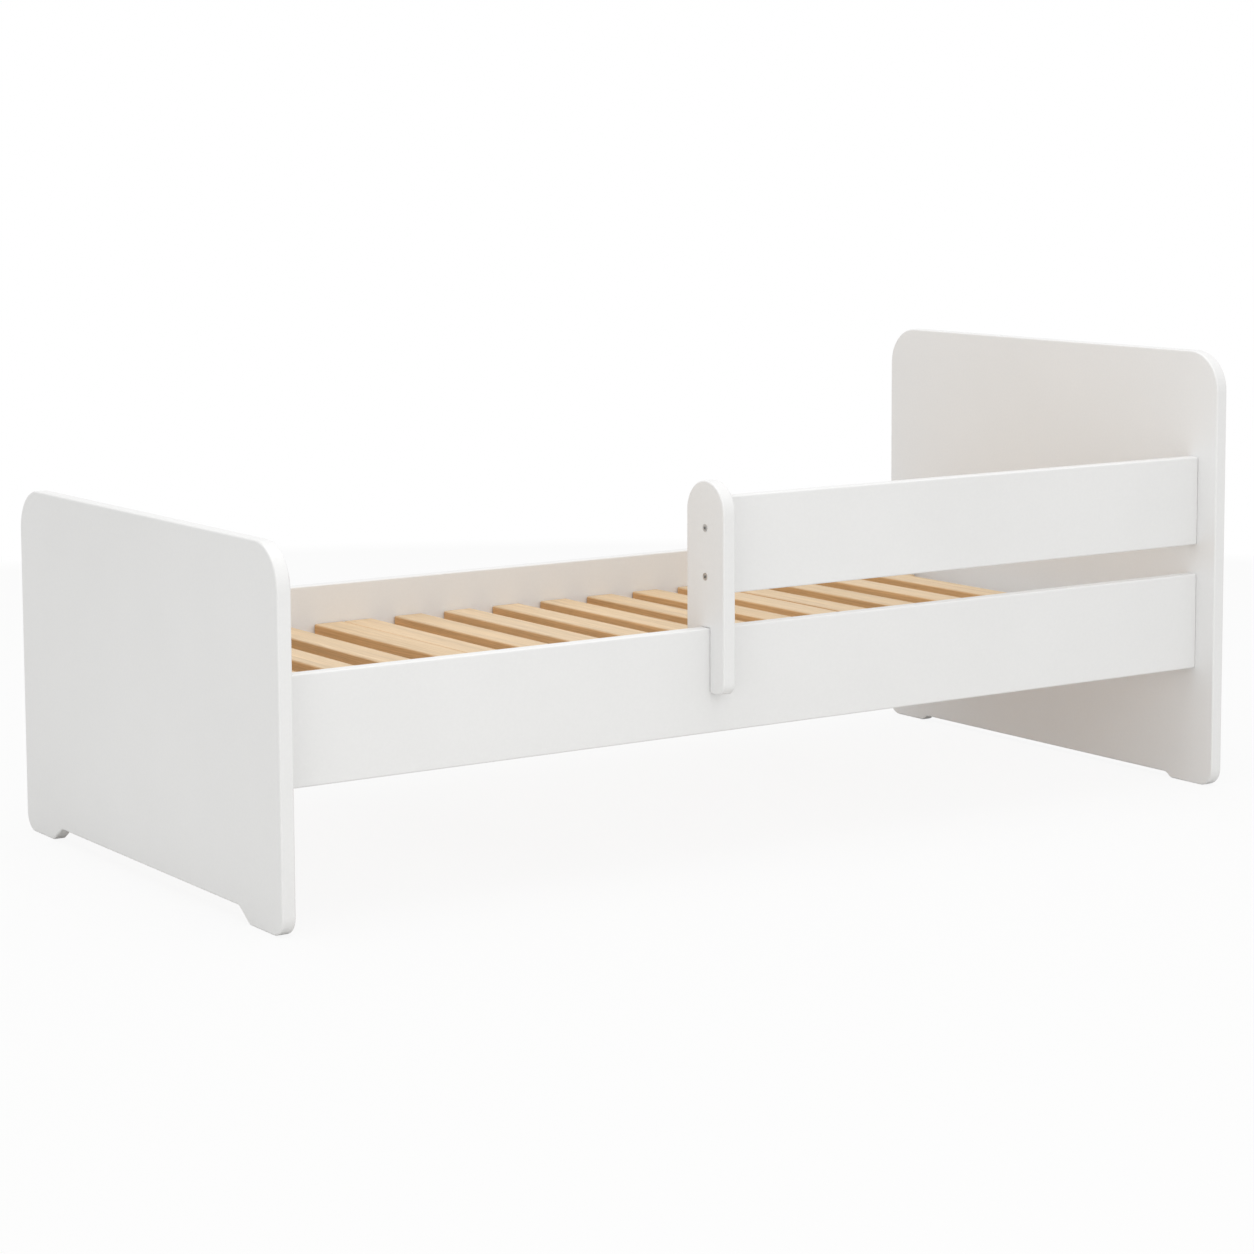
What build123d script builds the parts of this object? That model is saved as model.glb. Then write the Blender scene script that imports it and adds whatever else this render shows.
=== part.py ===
from build123d import *
import os

# Toddler bed: two end panels, two side rails, a slatted base and a fall guard.
# Millimetres. X runs along the bed towards the head end, Y from the front side to the
# back side and Z up. The origin is on the floor under the middle of the bed.

# ---- Driving dimensions ----
bed_length = 1640
bed_width = 790
board_thickness = 20
edge_round = 2.5

foot_panel_height = 503
head_panel_height = 674
panel_corner_radius = 60
panel_base_radius = 26
foot_length = 90
foot_cutout_height = 20
head_cutout_height = 8
cutout_run_per_rise = 1.5
cutout_top_radius = 14
cutout_foot_radius = 6

rail_inset = 39
rail_bottom = 182
rail_height = 147

guard_length = 908
guard_bottom = 375
guard_height = 136

post_width = 88
post_top = 534
post_outer_leg_bottom = 238
post_outer_leg_radius = 16
post_leg_corner_radius = 4
notch_clearance = 0.3
post_slat_clearance = 4
post_screw_heights = (400, 468)

slat_width = 50
slat_thickness = 18
slat_round = 3
slat_drop = 59
slat_end_gap = 1
# Each section of the base: foot side of its first and last slat, from the foot panel's
# inner face, and its number of slats. Neighbouring sections nearly meet.
slat_sections = ((61, 428, 5), (479, 1103, 8), (1161, 1450, 4))

ledge_width = 20
ledge_height = 25
ledge_chamfer = 1.5
ledge_end_gap = 10
# Ledge screws sit midway between these slats and the next ones, counted from the foot.
ledge_screw_slats = (0, 3, 6, 9, 12, 15)

cam_radius = 7.5
cam_depth = 15
cam_setback = 34
cam_bore_overrun = 3
rail_bolt_spread = 40
guard_bolt_spread = 36
bolt_bore_radius = 4
bolt_thread_radius = 2.5
bolt_thread_length = 11
bolt_collar_radius = 3.6
bolt_collar_length = 2
bolt_shank_radius = 2.8
bolt_neck_radius = 1.9
bolt_neck_start = 29
bolt_neck_taper = 2
bolt_head_start = 32
bolt_head_radius = 3.4
bolt_head_end = 36
bolt_chamfer = 1
cam_slot_length = 9
cam_slot_width = 1.8
cam_slot_depth = 1.5
dowel_radius = 4
dowel_chamfer = 1
dowel_length_in_panel = 11
dowel_length_in_board = 19

# Countersunk screws: head radius, head depth, shank radius and length.
post_screw_size = (5.5, 4, 3, 60)
ledge_screw_size = (4, 2.5, 2, 32)
slat_screw_size = (4, 2.5, 2, 35)
cross_recess_length = 4.4
cross_recess_depth = 1.6
hex_recess_radius = 2.6
hex_recess_depth = 3

# ---- Derived places ----
inner_half_length = bed_length / 2 - board_thickness
rail_y = bed_width / 2 - rail_inset - board_thickness / 2
rail_inner_y = rail_y - board_thickness / 2
rail_top = rail_bottom + rail_height
rail_middle = rail_bottom + rail_height / 2
guard_middle = guard_bottom + guard_height / 2
guard_start = inner_half_length - guard_length
post_start = guard_start - board_thickness
slat_top = rail_top - slat_drop
slat_bottom = slat_top - slat_thickness
post_inner_leg_bottom = slat_top + post_slat_clearance
ledge_y = rail_inner_y - ledge_width / 2
slat_length = 2 * (rail_inner_y - slat_end_gap)

slat_centres = []
for first_edge, last_edge, count in slat_sections:
    pitch = (last_edge - first_edge) / (count - 1)
    for i in range(count):
        slat_centres.append(first_edge + i * pitch + slat_width / 2 - inner_half_length)

ledge_screw_x = [(slat_centres[i] + slat_centres[i + 1]) / 2 for i in ledge_screw_slats]

# Slack for picking an outline's vertices by their place.
pick_margin = 1

os.makedirs("parts", exist_ok=True)


def finish(part, name):
    """Labels a finished piece and writes its STEP file."""
    part.label = name
    export_step(part, f"parts/{name}.step")


# ---- Fastener shapes, each drawn once at the origin ----
def countersunk_shape(head_radius, head_depth, shank_radius, length):
    """A countersunk screw without its recess: head face at Z 0, point towards -Z."""
    point = 2 * shank_radius
    with BuildPart() as shape:
        with BuildSketch(Plane.XZ):
            with BuildLine():
                Polyline(
                    (0, 0),
                    (head_radius, 0),
                    (shank_radius, -head_depth),
                    (shank_radius, point - length),
                    (0, -length),
                    close=True,
                )
            make_face()
        revolve(axis=Axis.Z)
    return shape.part


def cross_recess(blank):
    """Cuts a cross recess into the head of a screw shape."""
    length = cross_recess_length
    depth = 2 * cross_recess_depth
    with BuildPart() as screw:
        add(blank)
        Box(length, length / 4, depth, mode=Mode.SUBTRACT)
        Box(length / 4, length, depth, mode=Mode.SUBTRACT)
    return screw.part


post_screw_hole = countersunk_shape(*post_screw_size)
ledge_screw_hole = countersunk_shape(*ledge_screw_size)
slat_screw_hole = countersunk_shape(*slat_screw_size)
ledge_screw = cross_recess(ledge_screw_hole)
slat_screw = cross_recess(slat_screw_hole)

with BuildPart() as post_screw:
    add(post_screw_hole)
    with BuildSketch(Plane.XY):
        RegularPolygon(radius=hex_recess_radius, side_count=6)
    extrude(amount=-hex_recess_depth, mode=Mode.SUBTRACT)

# Cam bolt for the foot end of a front board: the panel's inner face is at X 0.
with BuildPart() as cam_bolt:
    with BuildSketch(Plane.XZ):
        with BuildLine():
            Polyline(
                (-bolt_thread_length, 0),
                (-bolt_thread_length, bolt_thread_radius - bolt_chamfer),
                (bolt_chamfer - bolt_thread_length, bolt_thread_radius),
                (0, bolt_thread_radius),
                (0, bolt_collar_radius),
                (bolt_collar_length, bolt_collar_radius),
                (bolt_collar_length, bolt_shank_radius),
                (bolt_neck_start - bolt_neck_taper, bolt_shank_radius),
                (bolt_neck_start, bolt_neck_radius),
                (bolt_head_start, bolt_neck_radius),
                (bolt_head_start, bolt_head_radius),
                (bolt_head_end - bolt_chamfer, bolt_head_radius),
                (bolt_head_end, bolt_head_radius - bolt_chamfer),
                (bolt_head_end, 0),
                close=True,
            )
        make_face()
    revolve(axis=Axis.X)

# Cam lock for the same place: its face is flush with the board's inner side, and the
# bolt's bore runs a little past its axis.
cam_face_y = board_thickness / 2
cam_bore_length = cam_radius + 2 * cam_bore_overrun
with BuildPart() as cam_lock:
    with Locations((cam_setback, cam_face_y - cam_depth / 2, 0)):
        Cylinder(cam_radius, cam_depth, rotation=(90, 0, 0))
    with Locations((cam_setback - cam_radius / 2, 0, 0)):
        Cylinder(bolt_bore_radius, cam_bore_length, rotation=(0, 90, 0), mode=Mode.SUBTRACT)
    with Locations((cam_setback, cam_face_y, 0)):
        Box(cam_slot_length, 2 * cam_slot_depth, cam_slot_width, mode=Mode.SUBTRACT)
        Box(cam_slot_width, 2 * cam_slot_depth, cam_slot_length, mode=Mode.SUBTRACT)

with BuildPart() as cam_pocket:
    with Locations((cam_setback, cam_face_y - cam_depth / 2, 0)):
        Cylinder(cam_radius, cam_depth, rotation=(90, 0, 0))
    with Locations((cam_setback / 2, 0, 0)):
        Cylinder(bolt_bore_radius, cam_setback, rotation=(0, 90, 0))

with BuildPart() as dowel:
    with Locations(((dowel_length_in_board - dowel_length_in_panel) / 2, 0, 0)):
        Cylinder(
            dowel_radius,
            dowel_length_in_board + dowel_length_in_panel,
            rotation=(0, 90, 0),
        )
    chamfer(dowel.edges().filter_by(GeomType.CIRCLE), dowel_chamfer)


# ---- Fastener places ----
def turned(end, side):
    """Turn of a fitting made for the foot end of a front board to another board end."""
    if side < 0:
        return (0, 0, 0) if end < 0 else (0, 180, 0)
    return (180, 0, 0) if end < 0 else (0, 0, 180)


# Every joint of a board's end to a panel: end of the bed, side, height, spread of bolts.
board_ends = [
    (end, side, rail_middle, rail_bolt_spread) for end in (-1, 1) for side in (-1, 1)
]
board_ends.append((1, -1, guard_middle, guard_bolt_spread))

dowel_places = []
bolt_places = []
for end, side, height, spread in board_ends:
    for places, rise in ((dowel_places, 0), (bolt_places, -spread), (bolt_places, spread)):
        position = (end * inner_half_length, side * rail_y, height + rise)
        places.append(Location(position, turned(end, side)))

post_screw_places = [
    Location((post_start, -rail_y, height), (0, -90, 0)) for height in post_screw_heights
]


def ledge_screw_places(side):
    """Places on a ledge's inner side, driven outwards into the rail."""
    height = slat_bottom - ledge_height / 2
    y = side * (rail_inner_y - ledge_width)
    return [Location((x, y, height), (side * 90, 0, 0)) for x in ledge_screw_x]


def slat_screw_places(side):
    """Places under a ledge, driven up into each slat."""
    bottom = slat_bottom - ledge_height
    return [Location((x, side * ledge_y, bottom), (180, 0, 0)) for x in slat_centres]


def panel_outline_points(height, cutout_height):
    """Corner points of an end panel, as width and height: two feet and a low cut-out."""
    half = bed_width / 2
    foot_end = half - foot_length
    cutout_end = foot_end - cutout_run_per_rise * cutout_height
    right_side = [
        (cutout_end, cutout_height),
        (foot_end, 0),
        (half, 0),
        (half, height),
    ]
    left_side = [(-y, z) for y, z in reversed(right_side)]
    return right_side + left_side


def vertices_at_height(outline, height):
    """The vertices of an upright outline that lie at one height."""
    return [v for v in outline.vertices() if abs(v.Y - height) < pick_margin]


def round_panel_corners(outline, cutout_height):
    """Rounds an end panel's outline, from its top corners to its cut-out."""
    half = bed_width / 2
    fillet(outline.vertices().group_by(Axis.Y)[-1], panel_corner_radius)
    lowest = outline.vertices().group_by(Axis.Y)[0]
    fillet([v for v in lowest if abs(v.X) > half - pick_margin], panel_base_radius)
    lowest = outline.vertices().group_by(Axis.Y)[0]
    foot_end = half - foot_length
    fillet([v for v in lowest if abs(v.X) < foot_end + pick_margin], cutout_foot_radius)
    fillet(vertices_at_height(outline, cutout_height), cutout_top_radius)


def round_board_faces(piece):
    """Rounds the edges of a board that stands across the bed."""
    faces = piece.faces().filter_by(Axis.X).sort_by(Axis.X)
    fillet(faces[0].edges() + faces[-1].edges(), edge_round)


# ---- End panels ----
with BuildPart() as foot_panel:
    with BuildSketch(Plane.YZ.offset(-bed_length / 2)) as outline:
        with BuildLine():
            Polyline(panel_outline_points(foot_panel_height, foot_cutout_height), close=True)
        make_face()
        round_panel_corners(outline, foot_cutout_height)
    extrude(amount=board_thickness)
    round_board_faces(foot_panel)
    with Locations(bolt_places):
        add(cam_bolt.part, mode=Mode.SUBTRACT)
    with Locations(dowel_places):
        add(dowel.part, mode=Mode.SUBTRACT)
foot_panel.part.label = "foot_panel"
export_step(foot_panel.part, "parts/foot_panel.step")

with BuildPart() as head_panel:
    with BuildSketch(Plane.YZ.offset(inner_half_length)) as outline:
        with BuildLine():
            Polyline(panel_outline_points(head_panel_height, head_cutout_height), close=True)
        make_face()
        round_panel_corners(outline, head_cutout_height)
    extrude(amount=board_thickness)
    round_board_faces(head_panel)
    with Locations(bolt_places):
        add(cam_bolt.part, mode=Mode.SUBTRACT)
    with Locations(dowel_places):
        add(dowel.part, mode=Mode.SUBTRACT)
head_panel.part.label = "head_panel"
export_step(head_panel.part, "parts/head_panel.step")

# ---- Side rails with their slat ledges ----
for side, side_name in ((-1, "front"), (1, "back")):
    with BuildPart() as side_rail:
        with Locations((0, side * rail_y, rail_middle)):
            Box(2 * inner_half_length, board_thickness, rail_height)
        fillet(side_rail.edges(), edge_round)
        with Locations(bolt_places):
            add(cam_pocket.part, mode=Mode.SUBTRACT)
        with Locations(dowel_places):
            add(dowel.part, mode=Mode.SUBTRACT)
        with Locations(ledge_screw_places(side)):
            add(ledge_screw_hole, mode=Mode.SUBTRACT)
    finish(side_rail.part, f"{side_name}_side_rail")

    with BuildPart() as slat_ledge:
        with Locations((0, side * ledge_y, slat_bottom - ledge_height / 2)):
            Box(2 * (inner_half_length - ledge_end_gap), ledge_width, ledge_height)
        inner_edges = slat_ledge.edges().filter_by(Axis.X).sort_by(Axis.Y, reverse=side > 0)
        chamfer(inner_edges[-2:], ledge_chamfer)
        with Locations(ledge_screw_places(side)):
            add(ledge_screw_hole, mode=Mode.SUBTRACT)
        with Locations(slat_screw_places(side)):
            add(slat_screw_hole, mode=Mode.SUBTRACT)
    finish(slat_ledge.part, f"{side_name}_slat_ledge")

    with BuildPart() as ledge_screws:
        with Locations(ledge_screw_places(side)):
            add(ledge_screw)
    finish(ledge_screws.part, f"{side_name}_ledge_screws")

    with BuildPart() as slat_screws:
        with Locations(slat_screw_places(side)):
            add(slat_screw)
    finish(slat_screws.part, f"{side_name}_slat_screws")

# ---- Slats ----
for number, centre in enumerate(slat_centres, start=1):
    with BuildPart() as slat:
        with Locations((centre, 0, slat_bottom + slat_thickness / 2)):
            Box(slat_width, slat_length, slat_thickness)
        fillet(slat.edges(), slat_round)
        with Locations(slat_screw_places(-1) + slat_screw_places(1)):
            add(slat_screw_hole, mode=Mode.SUBTRACT)
    finish(slat.part, f"slat_{number:02d}")

# ---- Fall guard ----
with BuildPart() as guard_board:
    with Locations((guard_start + guard_length / 2, -rail_y, guard_middle)):
        Box(guard_length, board_thickness, guard_height)
    fillet(guard_board.edges(), edge_round)
    with Locations(bolt_places):
        add(cam_pocket.part, mode=Mode.SUBTRACT)
    with Locations(dowel_places):
        add(dowel.part, mode=Mode.SUBTRACT)
    with Locations(post_screw_places):
        add(post_screw_hole, mode=Mode.SUBTRACT)
guard_board.part.label = "guard_board"
export_step(guard_board.part, "parts/guard_board.step")

post_outer_y = -rail_y - post_width / 2
post_inner_y = -rail_y + post_width / 2
notch_half = board_thickness / 2 + notch_clearance
arch_base = post_top - post_width / 2
with BuildPart() as guard_post:
    with BuildSketch(Plane.YZ.offset(post_start)) as outline:
        with BuildLine():
            Polyline(
                (post_inner_y, arch_base),
                (post_inner_y, post_inner_leg_bottom),
                (-rail_y + notch_half, post_inner_leg_bottom),
                (-rail_y + notch_half, rail_top),
                (-rail_y - notch_half, rail_top),
                (-rail_y - notch_half, post_outer_leg_bottom),
                (post_outer_y, post_outer_leg_bottom),
                (post_outer_y, arch_base),
            )
            ThreePointArc((post_outer_y, arch_base), (-rail_y, post_top), (post_inner_y, arch_base))
        make_face()
        outer_leg = outline.vertices().group_by(Axis.Y)[0].sort_by(Axis.X)
        fillet(outer_leg[0], post_outer_leg_radius)
        outer_leg = outline.vertices().group_by(Axis.Y)[0].sort_by(Axis.X)
        fillet(outer_leg[-1], post_leg_corner_radius)
        fillet(vertices_at_height(outline, post_inner_leg_bottom), post_leg_corner_radius)
    extrude(amount=board_thickness)
    round_board_faces(guard_post)
    with Locations(post_screw_places):
        add(post_screw_hole, mode=Mode.SUBTRACT)
guard_post.part.label = "guard_post"
export_step(guard_post.part, "parts/guard_post.step")

with BuildPart() as guard_post_screws:
    with Locations(post_screw_places):
        add(post_screw.part)
guard_post_screws.part.label = "guard_post_screws"
export_step(guard_post_screws.part, "parts/guard_post_screws.step")

# ---- Knock-down fittings at the board ends ----
with BuildPart() as cam_bolts:
    with Locations(bolt_places):
        add(cam_bolt.part)
cam_bolts.part.label = "cam_bolts"
export_step(cam_bolts.part, "parts/cam_bolts.step")

with BuildPart() as cam_locks:
    with Locations(bolt_places):
        add(cam_lock.part)
cam_locks.part.label = "cam_locks"
export_step(cam_locks.part, "parts/cam_locks.step")

with BuildPart() as wood_dowels:
    with Locations(dowel_places):
        add(dowel.part)
wood_dowels.part.label = "wood_dowels"
export_step(wood_dowels.part, "parts/wood_dowels.step")
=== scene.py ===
import math

import bpy
from mathutils import Matrix, Vector


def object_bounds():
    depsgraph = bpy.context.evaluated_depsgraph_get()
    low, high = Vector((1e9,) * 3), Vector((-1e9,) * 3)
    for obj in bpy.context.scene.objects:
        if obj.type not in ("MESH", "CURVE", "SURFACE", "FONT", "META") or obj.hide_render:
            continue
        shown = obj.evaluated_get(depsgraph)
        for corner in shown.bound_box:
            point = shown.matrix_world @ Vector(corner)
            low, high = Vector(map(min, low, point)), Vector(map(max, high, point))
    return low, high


# Toddler bed: the materials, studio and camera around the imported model. Metres, in the
# shared frame: +X towards the head panel, -Y the front with the fall guard, +Z up.

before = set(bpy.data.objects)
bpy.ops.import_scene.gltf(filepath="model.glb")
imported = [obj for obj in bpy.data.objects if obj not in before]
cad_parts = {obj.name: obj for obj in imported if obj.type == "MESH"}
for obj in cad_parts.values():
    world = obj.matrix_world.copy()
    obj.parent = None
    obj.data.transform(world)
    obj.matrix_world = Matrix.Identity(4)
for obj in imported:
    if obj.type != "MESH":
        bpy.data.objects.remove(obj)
cad_low, cad_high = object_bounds()
middle = (cad_low + cad_high) / 2

# ---- Pieces that share a material ----
WHITE_BOARDS = (
    "foot_panel", "head_panel", "front_side_rail", "back_side_rail", "guard_board", "guard_post",
)
LEDGES = ("front_slat_ledge", "back_slat_ledge")
DOWELS = ("wood_dowels",)
CAM_LOCKS = ("cam_locks",)
SCREWS = (
    "guard_post_screws", "front_ledge_screws", "back_ledge_screws",
    "front_slat_screws", "back_slat_screws", "cam_bolts",
)
SLATS = sorted(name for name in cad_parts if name.startswith("slat_"))

# ---- Colours ----
WHITE = (1.0, 1.0, 1.0, 1)
BLACK = (0.0, 0.0, 0.0, 1)
LACQUER_DARK = (0.800, 0.798, 0.792, 1)
LACQUER_LIGHT = (0.830, 0.828, 0.822, 1)
PINE_LIGHT = (0.81, 0.63, 0.43, 1)
PINE_DARK = (0.62, 0.42, 0.22, 1)
BEECH_LIGHT = (0.66, 0.45, 0.28, 1)
BEECH_DARK = (0.50, 0.30, 0.16, 1)
WARM_BOARD_TINT = (0.95, 0.92, 0.86, 1)
# Painted shade: the tint that darkens the wood's sides, where the slats shade each other.
SIDE_SHADE_TINT = (0.935, 0.735, 0.51, 1)
LATE_WOOD = (0.75, 0.75, 0.75, 1)
ZINC_COLOUR = (0.66, 0.66, 0.65, 1)
CAM_COLOUR = (0.50, 0.50, 0.50, 1)
FLOOR_COLOUR = (0.69, 0.69, 0.68, 1)

# ---- Wood grain ----
PINE_RING_SPACING = 0.0042
BEECH_RING_SPACING = 0.0015
RING_WANDER = 0.06
ALONG_X = 0
ALONG_Y = 1

# ---- Studio ----
FLOOR_SIZE = 64
FLOOR_GAP = 0.0003
FLOOR_FADE_START = 1.6
FLOOR_FADE_END = 3.2
FLOOR_SHADOW = 0.11
WORLD_LIGHT = 0.86
WORLD_SEEN = 1.0
# Each softbox: name, place, side of its square and power in watts.
SOFTBOXES = (
    ("top_softbox", (-0.3, -0.4, 4.2), 3.5, 52),
    ("front_softbox", (-0.9, -3.8, 1.9), 2.4, 21),
    ("left_softbox", (-3.6, -2.6, 0.6), 1.8, 12),
)

# ---- Camera: place, angles in degrees, lens in millimetres ----
CAMERA_PLACE = (-2.6655, -3.8878, 1.0135)
CAMERA_HEADING = 34.206
CAMERA_TILT = 6.205
CAMERA_ROLL = -0.235
CAMERA_LENS = 91.21
CAMERA_SHIFT = -0.12


# ---- Shader helpers ----
def add_node(tree, kind, inputs=None, **settings):
    """Adds a shader node. Inputs go by name or number, and are values or sockets."""
    node = tree.nodes.new(kind)
    for name, value in settings.items():
        setattr(node, name, value)
    for name, value in (inputs or {}).items():
        if isinstance(value, bpy.types.NodeSocket):
            tree.links.new(value, node.inputs[name])
        else:
            node.inputs[name].default_value = value
    return node


def new_material(name):
    """A new material and its node tree, holding one Principled shader."""
    material = bpy.data.materials.new(name)
    material.use_nodes = True
    tree = material.node_tree
    tree.nodes.clear()
    shader = tree.nodes.new("ShaderNodeBsdfPrincipled")
    add_node(tree, "ShaderNodeOutputMaterial", {"Surface": shader.outputs["BSDF"]})
    return material, tree, shader


def object_point(tree):
    """The surface point in metres, in the shared frame."""
    return add_node(tree, "ShaderNodeTexCoord").outputs["Object"]


def parts_of(tree, vector):
    """The X, Y and Z of a vector."""
    return add_node(tree, "ShaderNodeSeparateXYZ", {"Vector": vector}).outputs


def noise(tree, point, scale, detail=2.0, roughness=0.5):
    """A soft noise value, around 0.5."""
    inputs = {"Vector": point, "Scale": scale, "Detail": detail, "Roughness": roughness}
    return add_node(tree, "ShaderNodeTexNoise", inputs).outputs["Fac"]


def math_node(tree, operation, a, b=0.0):
    """One arithmetic step on two numbers or sockets."""
    return add_node(tree, "ShaderNodeMath", {0: a, 1: b}, operation=operation).outputs[0]


def spread(tree, value, low, high, from_low=0.3, from_high=0.7):
    """A number taken from one range to another."""
    inputs = {
        "Value": value, "From Min": from_low, "From Max": from_high,
        "To Min": low, "To Max": high,
    }
    return add_node(tree, "ShaderNodeMapRange", inputs).outputs["Result"]


def colour_mix(tree, factor, first, second, blend="MIX"):
    """A mix of two colours: 0, 6 and 7 are a Mix node's factor and colour sockets."""
    inputs = {0: factor, 6: first, 7: second}
    node = add_node(tree, "ShaderNodeMix", inputs, data_type="RGBA", blend_type=blend)
    return node.outputs[2]


def tinted(tree, colour, tint):
    """A colour multiplied by another colour or by a number."""
    return colour_mix(tree, 1.0, colour, tint, "MULTIPLY")


def bump(tree, height, distance, strength, under=None):
    """A bump from a height in the given distance, over another bump if one is given."""
    inputs = {"Height": height, "Distance": distance, "Strength": strength}
    if under is not None:
        inputs["Normal"] = under
    return add_node(tree, "ShaderNodeBump", inputs).outputs["Normal"]


def finish_surface(tree, shader, colour, roughness, normal):
    """Links a surface's colour, roughness and bump to its shader."""
    tree.links.new(colour, shader.inputs["Base Color"])
    tree.links.new(roughness, shader.inputs["Roughness"])
    tree.links.new(normal, shader.inputs["Normal"])


# ---- Materials ----
def white_lacquer():
    """Satin white lacquer on wood board: nearly even, with a faint orange peel."""
    material, tree, shader = new_material("white_lacquer")
    point = object_point(tree)
    cloud = noise(tree, point, scale=3.0, detail=3.0)
    speck = noise(tree, point, scale=260.0)
    smear = noise(tree, point, scale=22.0, detail=4.0)
    wave = noise(tree, point, scale=30.0)
    peel = noise(tree, point, scale=420.0, detail=1.0)

    colour = colour_mix(tree, spread(tree, cloud, 0.0, 1.0), LACQUER_DARK, LACQUER_LIGHT)
    colour = tinted(tree, colour, spread(tree, speck, low=0.985, high=1.0))
    roughness = spread(tree, smear, low=0.36, high=0.46)
    normal = bump(tree, wave, distance=0.0004, strength=0.25)
    normal = bump(tree, peel, distance=0.0001, strength=0.35, under=normal)
    finish_surface(tree, shader, colour, roughness, normal)
    shader.inputs["IOR"].default_value = 1.48
    shader.inputs["Coat Weight"].default_value = 0.12
    shader.inputs["Coat Roughness"].default_value = 0.22
    return material


def grain_line(tree, point, grain_axis, stretch):
    """The point with one axis scaled down, which draws patterns out along the grain."""
    scale = [1.0, 1.0, 1.0]
    scale[grain_axis] = stretch
    return add_node(tree, "ShaderNodeMapping", {"Vector": point, "Scale": scale}).outputs["Vector"]


def growth_rings(tree, point, grain_axis, spacing):
    """How much late wood shows: it builds up across each ring and then stops sharply."""
    drawn = grain_line(tree, point, grain_axis, stretch=0.07)
    wander = math_node(tree, "MULTIPLY", noise(tree, drawn, scale=16.0), RING_WANDER)
    axes = parts_of(tree, point)
    across = math_node(tree, "ADD", axes[1 - grain_axis], axes[2])
    across = math_node(tree, "ADD", across, wander)
    ring = math_node(tree, "FRACT", math_node(tree, "DIVIDE", across, spacing))

    ramp = add_node(tree, "ShaderNodeValToRGB", {"Fac": ring})
    stops = ramp.color_ramp.elements
    stops[0].color = BLACK
    stops[1].color = LATE_WOOD
    stops[1].position = 0.82
    stops.new(0.96).color = BLACK
    strength = spread(tree, noise(tree, drawn, scale=9.0), low=0.25, high=0.75)
    return math_node(tree, "MULTIPLY", ramp.outputs["Color"], strength)


def unshaded_top_share(tree):
    """1 on faces that look up, and 0 on a board's sides, which get the painted shade."""
    normal = add_node(tree, "ShaderNodeNewGeometry").outputs["Normal"]
    return spread(tree, parts_of(tree, normal)[2], low=0.0, high=1.0, from_low=0.2, from_high=0.9)


def sawn_wood(name, grain_axis, light, dark, ring_spacing):
    """Planed wood with growth rings, streaks and fibres that run along the given axis."""
    material, tree, shader = new_material(name)
    point = object_point(tree)
    rings = growth_rings(tree, point, grain_axis, ring_spacing)
    fibre_point = grain_line(tree, point, grain_axis, stretch=0.03)
    streak_point = grain_line(tree, point, grain_axis, stretch=0.04)
    board_point = grain_line(tree, point, grain_axis, stretch=0.02)
    fibre = noise(tree, fibre_point, scale=900.0, detail=3.0)
    streak = noise(tree, streak_point, scale=95.0, detail=3.0, roughness=0.65)
    board = noise(tree, board_point, scale=9.0, detail=1.0)

    colour = colour_mix(tree, rings, light, dark)
    colour = tinted(tree, colour, spread(tree, streak, low=0.84, high=1.06))
    colour = tinted(tree, colour, spread(tree, fibre, low=0.90, high=1.03))
    board_tint = colour_mix(tree, spread(tree, board, 0.0, 1.0), WHITE, WARM_BOARD_TINT)
    colour = tinted(tree, colour, board_tint)
    # Painted shade: the sides are made darker and more orange than the tops, for the shade between
    # the slats.
    side = tinted(tree, colour, SIDE_SHADE_TINT)
    colour = colour_mix(tree, unshaded_top_share(tree), side, colour)

    roughness = spread(tree, fibre, low=0.62, high=0.48)
    normal = bump(tree, rings, distance=0.00012, strength=0.6)
    normal = bump(tree, fibre, distance=0.00010, strength=0.5, under=normal)
    finish_surface(tree, shader, colour, roughness, normal)
    shader.inputs["IOR"].default_value = 1.45
    return material


def plated_metal(name, colour, smooth, rough):
    """Zinc plated or cast metal with a fine, uneven sheen, a little duller in places."""
    material, tree, shader = new_material(name)
    point = object_point(tree)
    mottle = noise(tree, point, scale=900.0, detail=3.0)
    grit = noise(tree, point, scale=2500.0)
    dull = [0.82 * channel for channel in colour[:3]] + [1]
    tone = colour_mix(tree, spread(tree, mottle, 0.0, 1.0), dull, colour)
    roughness = spread(tree, mottle, smooth, rough)
    normal = bump(tree, grit, distance=0.00005, strength=0.4)
    finish_surface(tree, shader, tone, roughness, normal)
    shader.inputs["Metallic"].default_value = 1.0
    return material


def dress(names, material):
    """Gives every named CAD piece one material."""
    for name in names:
        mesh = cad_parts[name].data
        mesh.materials.clear()
        mesh.materials.append(material)


# ---- Studio ----
def camera_only(tree, seen, unseen):
    """One value for what is seen directly and another for what lights the bed."""
    path = add_node(tree, "ShaderNodeLightPath")
    inputs = {0: path.outputs["Is Camera Ray"], 2: unseen, 3: seen}
    return add_node(tree, "ShaderNodeMix", inputs).outputs[0]


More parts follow.
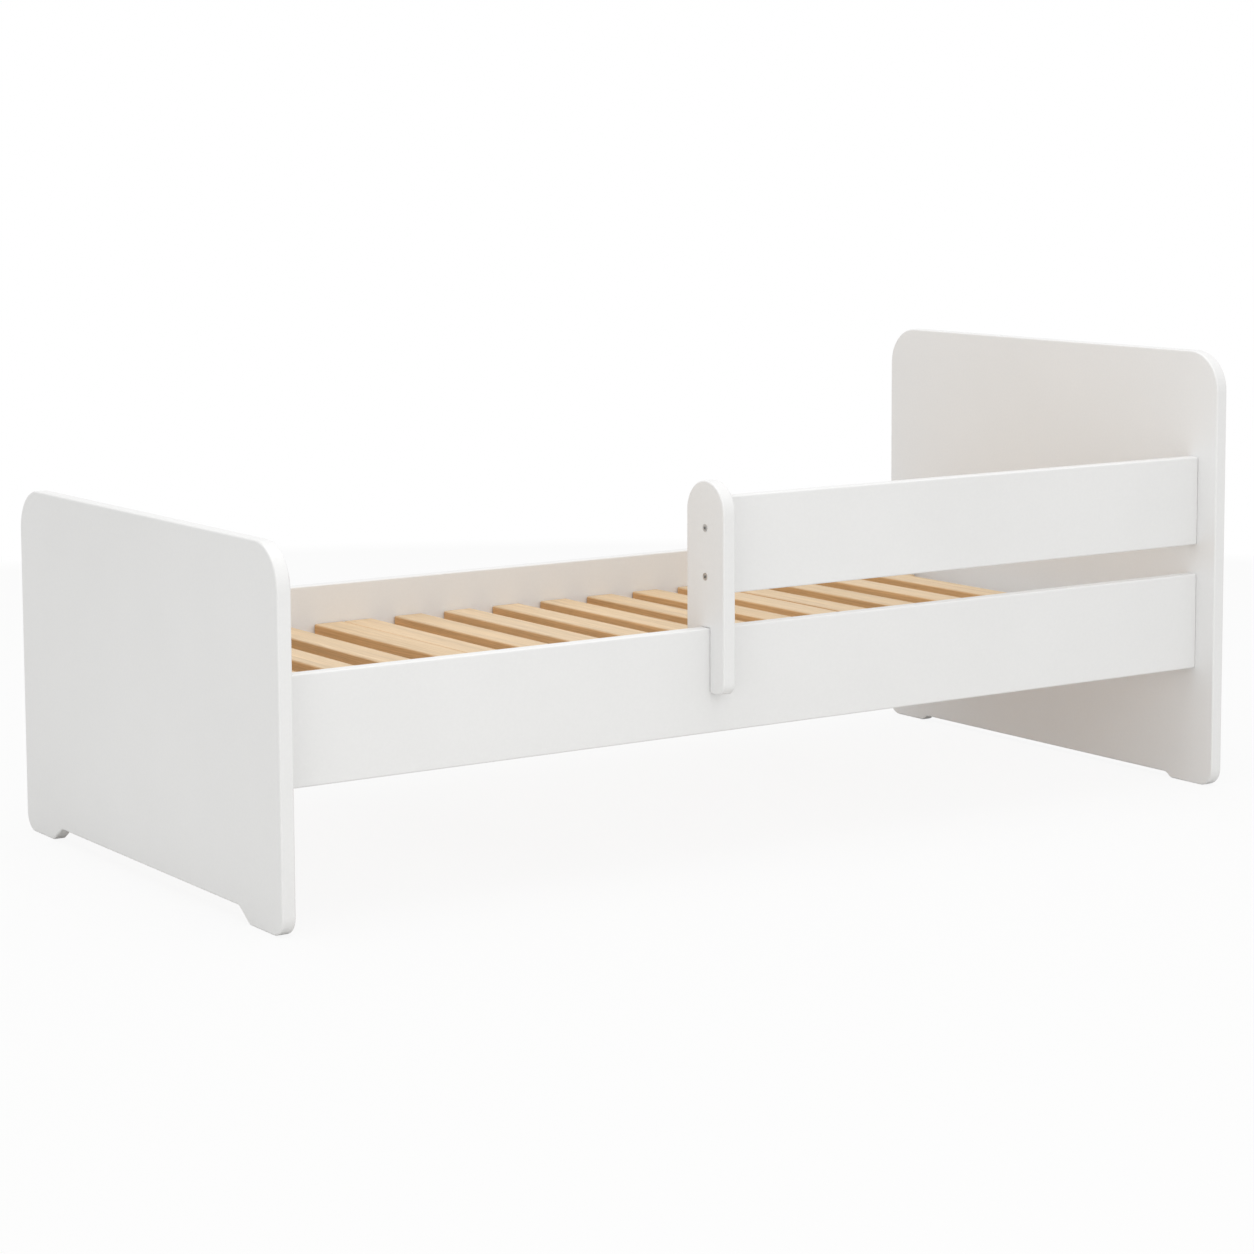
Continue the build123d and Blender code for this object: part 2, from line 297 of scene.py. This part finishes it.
def studio_floor():
    """A pale floor with a light shadow, which fades into the white studio around it."""
    place = (0, 0, cad_low.z - FLOOR_GAP)
    bpy.ops.mesh.primitive_plane_add(size=FLOOR_SIZE, location=place)
    plane = bpy.context.object
    plane.name = "studio_floor"
    material, tree, shader = new_material("studio_floor")
    shader.inputs["Base Color"].default_value = FLOOR_COLOUR
    shader.inputs["Roughness"].default_value = 0.9

    point = {0: object_point(tree)}
    distance = add_node(tree, "ShaderNodeVectorMath", point, operation="LENGTH").outputs["Value"]
    far = spread(tree, distance, 0.0, 1.0, FLOOR_FADE_START, FLOOR_FADE_END)
    whiteness = camera_only(tree, math_node(tree, "MAXIMUM", far, 1 - FLOOR_SHADOW), 0.0)
    glow = add_node(tree, "ShaderNodeEmission", {"Color": WHITE, "Strength": 1.0})
    inputs = {0: whiteness, 1: shader.outputs["BSDF"], 2: glow.outputs["Emission"]}
    mixed = add_node(tree, "ShaderNodeMixShader", inputs).outputs[0]
    tree.links.new(mixed, tree.nodes["Material Output"].inputs["Surface"])
    plane.data.materials.append(material)


def studio_world():
    """An even white studio: one strength for its light and one for how bright it looks."""
    world = bpy.data.worlds.new("studio")
    bpy.context.scene.world = world
    world.use_nodes = True
    tree = world.node_tree
    tree.nodes.clear()
    strength = camera_only(tree, WORLD_SEEN, WORLD_LIGHT)
    sky = add_node(tree, "ShaderNodeBackground", {"Color": WHITE, "Strength": strength})
    add_node(tree, "ShaderNodeOutputWorld", {"Surface": sky.outputs["Background"]})


def softbox(name, place, side, power):
    """A large square light aimed at the middle of the bed."""
    data = bpy.data.lights.new(name, "AREA")
    data.shape = "SQUARE"
    data.size = side
    data.energy = power
    lamp = bpy.data.objects.new(name, data)
    bpy.context.scene.collection.objects.link(lamp)
    lamp.location = place
    lamp.rotation_euler = (middle - Vector(place)).to_track_quat("-Z", "Y").to_euler()


def photo_camera():
    """The view from the front left: heading from +Y towards +X, tilt below level, roll."""
    data = bpy.data.cameras.new("camera")
    data.lens = CAMERA_LENS
    data.shift_y = CAMERA_SHIFT
    holder = bpy.data.objects.new("camera", data)
    bpy.context.scene.collection.objects.link(holder)
    holder.location = CAMERA_PLACE
    turn = Matrix.Rotation(math.radians(-CAMERA_HEADING), 3, "Z")
    turn = turn @ Matrix.Rotation(math.radians(90 - CAMERA_TILT), 3, "X")
    turn = turn @ Matrix.Rotation(math.radians(CAMERA_ROLL), 3, "Z")
    holder.rotation_euler = turn.to_euler()
    bpy.context.scene.camera = holder


# ---- Scene ----
dress(WHITE_BOARDS, white_lacquer())
dress(SLATS, sawn_wood("pine_slats", ALONG_Y, PINE_LIGHT, PINE_DARK, PINE_RING_SPACING))
dress(LEDGES, sawn_wood("pine_ledges", ALONG_X, PINE_LIGHT, PINE_DARK, PINE_RING_SPACING))
dress(DOWELS, sawn_wood("beech", ALONG_X, BEECH_LIGHT, BEECH_DARK, BEECH_RING_SPACING))
dress(SCREWS, plated_metal("zinc_steel", ZINC_COLOUR, smooth=0.24, rough=0.38))
dress(CAM_LOCKS, plated_metal("cam_metal", CAM_COLOUR, smooth=0.38, rough=0.55))

studio_floor()
studio_world()
for name, place, side, power in SOFTBOXES:
    softbox(name, place, side, power)
photo_camera()
bpy.context.scene.view_settings.view_transform = "Standard"
